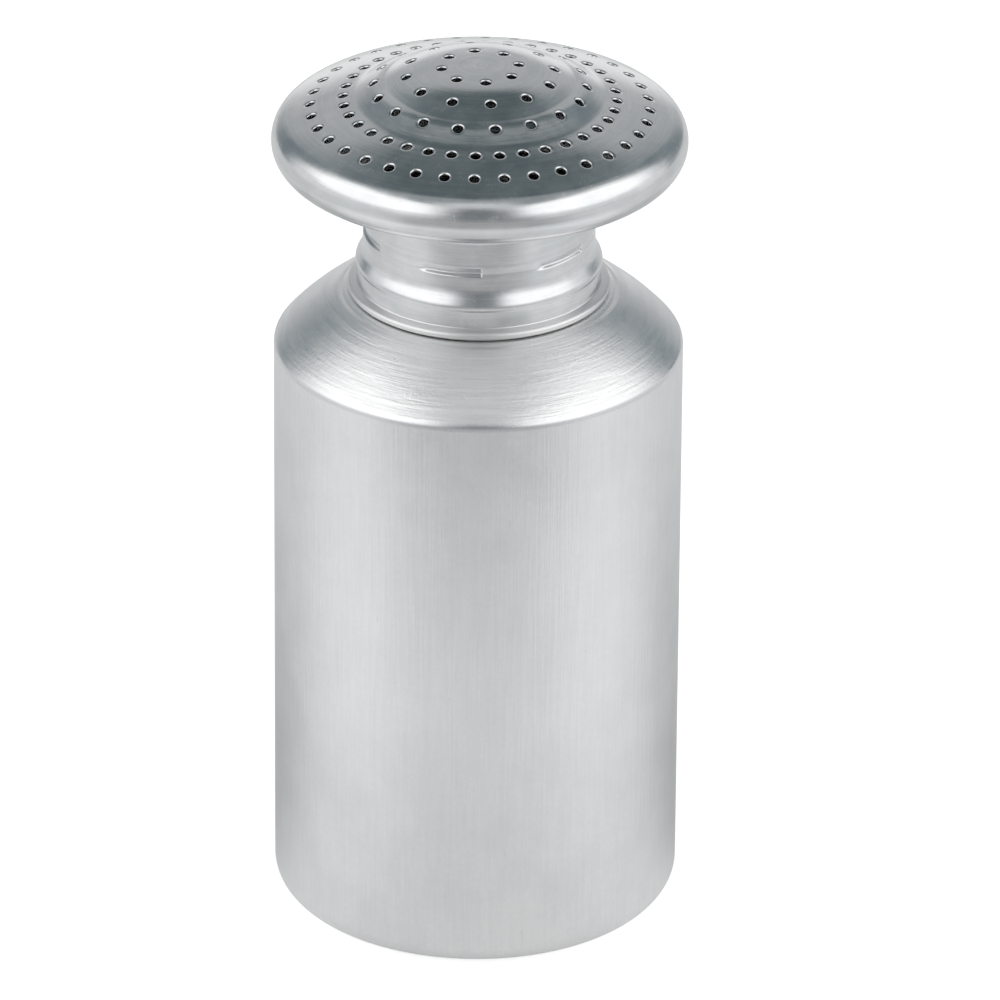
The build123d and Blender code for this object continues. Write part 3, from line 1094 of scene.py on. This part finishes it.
def studio_world():
    """White to the camera and through glass; softboxes, dark screens, a pale table and a patch
    of white backdrop to everything else."""
    world = bpy.data.worlds.new("studio")
    tree = empty_tree(world)
    x, y, z = split(tree, add_node(tree, "ShaderNodeTexCoord").outputs["Generated"])
    front = product(tree, y, -1.0)
    turn = calculate(tree, "DEGREES", calculate(tree, "ARCTAN2", x, front))
    away = calculate(tree, "ABSOLUTE", turn)
    height = calculate(tree, "DEGREES", calculate(tree, "ARCSINE", z))
    colour = blend_colour(tree, ramp(tree, height, -8, 2), FAR_TABLE, WALL)
    for _, place, lift, half_width, half_height, softness, shade in PATCHES:
        mask = patch_mask(tree, away, height, place, lift, half_width, half_height, softness)
        colour = blend_colour(tree, mask, colour, shade)

    path = add_node(tree, "ShaderNodeLightPath").outputs
    plain = calculate(
        tree, "ADD", path["Is Camera Ray"], path["Is Transmission Ray"], clamp=True
    )
    lit = output_of(tree, "ShaderNodeBackground", Color=colour, Strength=1.0)
    white = output_of(tree, "ShaderNodeBackground", Color=WHITE, Strength=1.0)
    mixed = add_node(tree, "ShaderNodeMixShader")
    for value, socket in zip((plain, lit, white), mixed.inputs):
        tree.links.new(value, socket)
    feed(tree, add_node(tree, "ShaderNodeOutputWorld"), Surface=mixed.outputs[0])
    bpy.context.scene.world = world


# The table as metal sees it, with painted shade: its brightness at the side, and the share of
# its light that is left beside the object, far away, in front, far in front, behind and far behind.
# The last four are the distances in millimetres over which it rises, falls off, and changes in
# front and behind.
TABLE_LEVEL = 0.825
TABLE_CONTACT_SHARE = 0.80
TABLE_FAR_SHARE = 0.82
TABLE_FRONT_SHARE = 0.86
TABLE_FAR_FRONT_SHARE = 0.68
TABLE_BACK_SHARE = 0.62
TABLE_FAR_BACK_SHARE = 0.88
TABLE_RISE = (70, 200)
TABLE_FALL = (240, 360)
TABLE_FRONT_FALL = (220, 330)
TABLE_BACK_FALL = (200, 340)

# Cosines of the turn from the front between which the table changes
FRONT_FADE = (0.55, 0.98)
FAR_FRONT_FADE = (0.5, 0.95)
BACK_FADE = (-0.6, 0.3)
FLOOR_HALF = 1600
FLOOR_DROP = 0.2
PAPER_COLOUR = 0.8
PAPER_GLOW = 0.62


def studio_floor():
    """A pale table that is white to the camera and keeps a faint shadow.  Metal shows it too,
    with the fall-off of its light."""
    corners = [Vector((x, y, 0)) * FLOOR_HALF * MM for x, y in ((-1, -1), (1, -1), (1, 1), (-1, 1))]
    mesh = plain_mesh("floor", corners, [(0, 1, 2, 3)])
    material = bpy.data.materials.new("floor_paper")
    tree = empty_tree(material)
    path = add_node(tree, "ShaderNodeLightPath").outputs
    _, _, y, _, distance = object_place(tree)
    forward = calculate(tree, "DIVIDE", product(tree, y, -1.0), distance)

    def left(mask, distances, near_share, far_share):
        """The share of the light that is left where a mask is 1."""
        lost = ramp(tree, distance, *distances, start=1 - near_share, end=1 - far_share)
        return calculate(tree, "SUBTRACT", 1.0, product(tree, mask, lost))

    in_front = ramp(tree, forward, *FAR_FRONT_FADE)
    behind = ramp(tree, forward, *BACK_FADE, start=1.0, end=0.0)
    # Painted shade on the table as metal sees it: darker beside the object, in front and behind,
    # and falling off far away.
    in_metal = product(
        tree,
        ramp(tree, distance, *TABLE_RISE, start=TABLE_CONTACT_SHARE),
        ramp(tree, distance, *TABLE_FALL, start=1.0, end=TABLE_FAR_SHARE),
        ramp(tree, forward, *FRONT_FADE, start=1.0, end=TABLE_FRONT_SHARE),
        left(behind, TABLE_BACK_FALL, TABLE_BACK_SHARE, TABLE_FAR_BACK_SHARE),
        left(in_front, TABLE_FRONT_FALL, 1.0, TABLE_FAR_FRONT_SHARE),
        TABLE_LEVEL,
    )
    shade = add_node(tree, "ShaderNodeMix", data_type="FLOAT")
    shade = feed(tree, shade, Factor=path["Is Glossy Ray"], A=1.0, B=in_metal).outputs[0]
    seen = calculate(tree, "ADD", path["Is Camera Ray"], path["Is Glossy Ray"], clamp=True)
    seen = calculate(tree, "ADD", seen, path["Is Transmission Ray"], clamp=True)
    glow = product(tree, seen, PAPER_GLOW, shade)
    paper = output_of(tree, "ShaderNodeBsdfDiffuse", Color=product(tree, shade, PAPER_COLOUR))
    light = output_of(tree, "ShaderNodeEmission", Color=WHITE, Strength=glow)
    both = add_node(tree, "ShaderNodeAddShader")
    for value, socket in zip((paper, light), both.inputs):
        tree.links.new(value, socket)
    feed(tree, add_node(tree, "ShaderNodeOutputMaterial"), Surface=both.outputs[0])
    mesh.materials.append(material)
    floor = bpy.data.objects.new("floor", mesh)
    floor.location.z = -FLOOR_DROP * MM
    bpy.context.scene.collection.objects.link(floor)
    floor.visible_diffuse = False


# Camera, as seen from the front: place in metres, angles in radians, lens in millimetres
CAMERA_PLACE = Vector((0.0, -1.96867, 1.07711))
CAMERA_YAW = 0.0024
CAMERA_DOWN = 0.4654
CAMERA_ROLL = 0.0077
CAMERA_LENS = 379.1


def studio_camera():
    ahead = Vector(
        (sin(CAMERA_YAW) * cos(CAMERA_DOWN), cos(CAMERA_YAW) * cos(CAMERA_DOWN), -sin(CAMERA_DOWN))
    )
    level = Vector((cos(CAMERA_YAW), -sin(CAMERA_YAW), 0))
    upright = level.cross(ahead)
    right = cos(CAMERA_ROLL) * level + sin(CAMERA_ROLL) * upright
    up = -sin(CAMERA_ROLL) * level + cos(CAMERA_ROLL) * upright
    data = bpy.data.cameras.new("camera")
    data.lens = CAMERA_LENS
    data.sensor_width = 36
    data.clip_end = 20
    camera = bpy.data.objects.new("camera", data)
    turn = Matrix((right, up, -ahead)).transposed()
    camera.matrix_world = Matrix.Translation(CAMERA_PLACE) @ turn.to_4x4()
    bpy.context.scene.collection.objects.link(camera)
    bpy.context.scene.camera = camera


# ---------------------------------------------------------------- scene
shared_effects = {
    "turned_lines": build_turned_lines(),
    "drawn_lines": build_drawn_lines(),
    "mottle": build_mottle(),
    "scratches": build_scratches(),
    "edge_wear": build_edge_wear(),
}
geometry_trees = (build_repeat_tree(), build_thread_tree())
make_bottle(geometry_trees, satin_aluminium(shared_effects))
make_cap(geometry_trees, bright_aluminium(shared_effects))
make_sleeve(geometry_trees, sleeve_plastic(shared_effects))
make_washer(geometry_trees, washer_rubber(shared_effects))
studio_world()
studio_floor()
studio_camera()
bpy.context.scene.view_settings.view_transform = "Standard"
